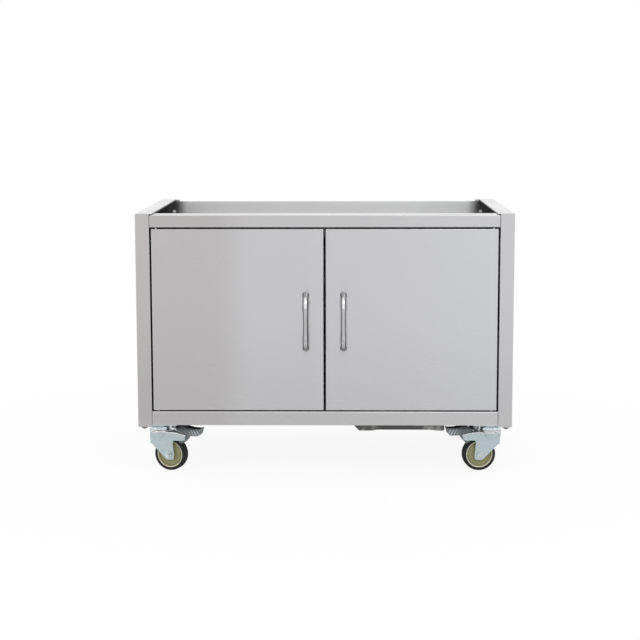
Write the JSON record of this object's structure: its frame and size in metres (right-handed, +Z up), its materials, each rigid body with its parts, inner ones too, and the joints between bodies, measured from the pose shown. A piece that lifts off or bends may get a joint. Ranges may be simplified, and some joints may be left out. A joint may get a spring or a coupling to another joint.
{
  "type": "grill cart",
  "caption": "Stainless cart for a grill head: storage cabinet with hinged doors and bent tube handles, recessed top, gas bottle well, and swivel casters, the front ones braked.",
  "frame": {"origin": "centre of the footprint's bounding box, on the floor that the casters stand on", "axes": "+X to the right seen from the front, along the cabinet's length; +Y to the back; +Z up"},
  "size_m": [0.9, 0.6074, 0.627],
  "materials": {
    "stainless": "brushed stainless, satin",
    "door_steel": "brushed stainless, satin, grain upright",
    "inner_steel": "mill finish, dull",
    "handle_metal": "satin, finely polished",
    "zinc": "zinc plated, satin",
    "fastener": "bright zinc",
    "ball_steel": "polished, greased",
    "spring_steel": "blued spring steel",
    "pedal_metal": "dark, semi-gloss",
    "hub_plastic": "moulded, olive grey",
    "tyre": "black, matt",
    "black_rubber": "matt",
    "black_plastic": "matt",
    "magnet": "bare ferrite, matt"
  },
  "bodies": {
    "cabinet": {"side_panel_left": "stainless", "side_panel_right": "stainless", "front_top_rail": "stainless", "front_bottom_rail": "stainless", "back_panel": "stainless", "floor_panel": "inner_steel", "top_tray": "inner_steel", "hose_grommet": "black_rubber", "tank_well": "inner_steel", "pivot_bushings": "black_plastic", "catch_housing": "black_plastic", "catch_magnets": "magnet", "rail_screws": "fastener", "back_panel_bolts": "fastener", "tray_screws": "fastener", "caster_bolts": "fastener", "caster_nuts": "fastener", "caster_king_pins": "zinc", "swivel_balls": "ball_steel", "caster_plate_front_left": "zinc", "caster_plate_front_right": "zinc", "caster_plate_rear_left": "zinc", "caster_plate_rear_right": "zinc"},
    "clamp_screw": {"tank_clamp_screw": "zinc"},
    "door_left": {"door_skin_left": "door_steel", "door_liner_left": "inner_steel", "door_pivot_pins_left": "fastener", "handle_feet_left": "handle_metal", "handle_tube_left": "handle_metal", "handle_screws_left": "fastener", "catch_plate_left": "zinc"},
    "door_right": {"door_skin_right": "door_steel", "door_liner_right": "inner_steel", "door_pivot_pins_right": "fastener", "handle_feet_right": "handle_metal", "handle_tube_right": "handle_metal", "handle_screws_right": "fastener", "catch_plate_right": "zinc"},
    "swivel_front_left": {"caster_yoke_front_left": "zinc", "caster_axle_front_left": "fastener", "brake_pin_front_left": "fastener", "brake_spring_front_left": "spring_steel"},
    "wheel_front_left": {"caster_hub_front_left": "hub_plastic", "caster_tyre_front_left": "tyre"},
    "pedal_front_left": {"brake_pedal_front_left": "pedal_metal"},
    "swivel_front_right": {"caster_yoke_front_right": "zinc", "caster_axle_front_right": "fastener", "brake_pin_front_right": "fastener", "brake_spring_front_right": "spring_steel"},
    "wheel_front_right": {"caster_hub_front_right": "hub_plastic", "caster_tyre_front_right": "tyre"},
    "pedal_front_right": {"brake_pedal_front_right": "pedal_metal"},
    "swivel_rear_left": {"caster_yoke_rear_left": "zinc", "caster_axle_rear_left": "fastener"},
    "wheel_rear_left": {"caster_hub_rear_left": "hub_plastic", "caster_tyre_rear_left": "tyre"},
    "swivel_rear_right": {"caster_yoke_rear_right": "zinc", "caster_axle_rear_right": "fastener"},
    "wheel_rear_right": {"caster_hub_rear_right": "hub_plastic", "caster_tyre_rear_right": "tyre"}
  },
  "joints": [
    {"name": "door_left_hinge", "type": "hinge", "parent": "cabinet", "child": "door_left", "pos_m": [-0.4012, -0.24993, 0.37235], "axis": [0, 0, -1], "range_deg": [0, 110]},
    {"name": "door_right_hinge", "type": "hinge", "parent": "cabinet", "child": "door_right", "pos_m": [0.4012, -0.24993, 0.37235], "axis": [0, 0, 1], "range_deg": [0, 110]},
    {"name": "swivel_front_left_turn", "type": "hinge", "parent": "cabinet", "child": "swivel_front_left", "pos_m": [-0.401, -0.21293, 0.096], "axis": [0, 0, 1], "continuous": true},
    {"name": "wheel_front_left_spin", "type": "hinge", "parent": "swivel_front_left", "child": "wheel_front_left", "pos_m": [-0.37422, -0.22111, 0.04], "axis": [0.2924, 0.9563, 0], "continuous": true},
    {"name": "pedal_front_left_press", "type": "hinge", "parent": "swivel_front_left", "child": "pedal_front_left", "pos_m": [-0.34171, -0.23105, 0.086], "axis": [0.2924, 0.9563, 0], "range_deg": [0, 11]},
    {"name": "swivel_front_right_turn", "type": "hinge", "parent": "cabinet", "child": "swivel_front_right", "pos_m": [0.401, -0.21293, 0.096], "axis": [0, 0, 1], "continuous": true},
    {"name": "wheel_front_right_spin", "type": "hinge", "parent": "swivel_front_right", "child": "wheel_front_right", "pos_m": [0.37327, -0.21682, 0.04], "axis": [0.1392, -0.9903, 0], "continuous": true},
    {"name": "pedal_front_right_press", "type": "hinge", "parent": "swivel_front_right", "child": "pedal_front_right", "pos_m": [0.3396, -0.22155, 0.086], "axis": [0.1392, -0.9903, 0], "range_deg": [0, 11]},
    {"name": "swivel_rear_left_turn", "type": "hinge", "parent": "cabinet", "child": "swivel_rear_left", "pos_m": [-0.401, 0.25507, 0.096], "axis": [0, 0, 1], "continuous": true},
    {"name": "wheel_rear_left_spin", "type": "hinge", "parent": "swivel_rear_left", "child": "wheel_rear_left", "pos_m": [-0.39807, 0.22723, 0.04], "axis": [0.9945, 0.1045, 0], "continuous": true},
    {"name": "swivel_rear_right_turn", "type": "hinge", "parent": "cabinet", "child": "swivel_rear_right", "pos_m": [0.401, 0.25507, 0.096], "axis": [0, 0, 1], "continuous": true},
    {"name": "wheel_rear_right_spin", "type": "hinge", "parent": "swivel_rear_right", "child": "wheel_rear_right", "pos_m": [0.39759, 0.22728, 0.04], "axis": [0.9925, -0.1219, 0], "continuous": true},
    {"name": "clamp_screw_slide", "type": "slide", "parent": "cabinet", "child": "clamp_screw", "axis": [-0.788, -0.6157, 0], "range_m": [0, 0.018]}
  ]
}
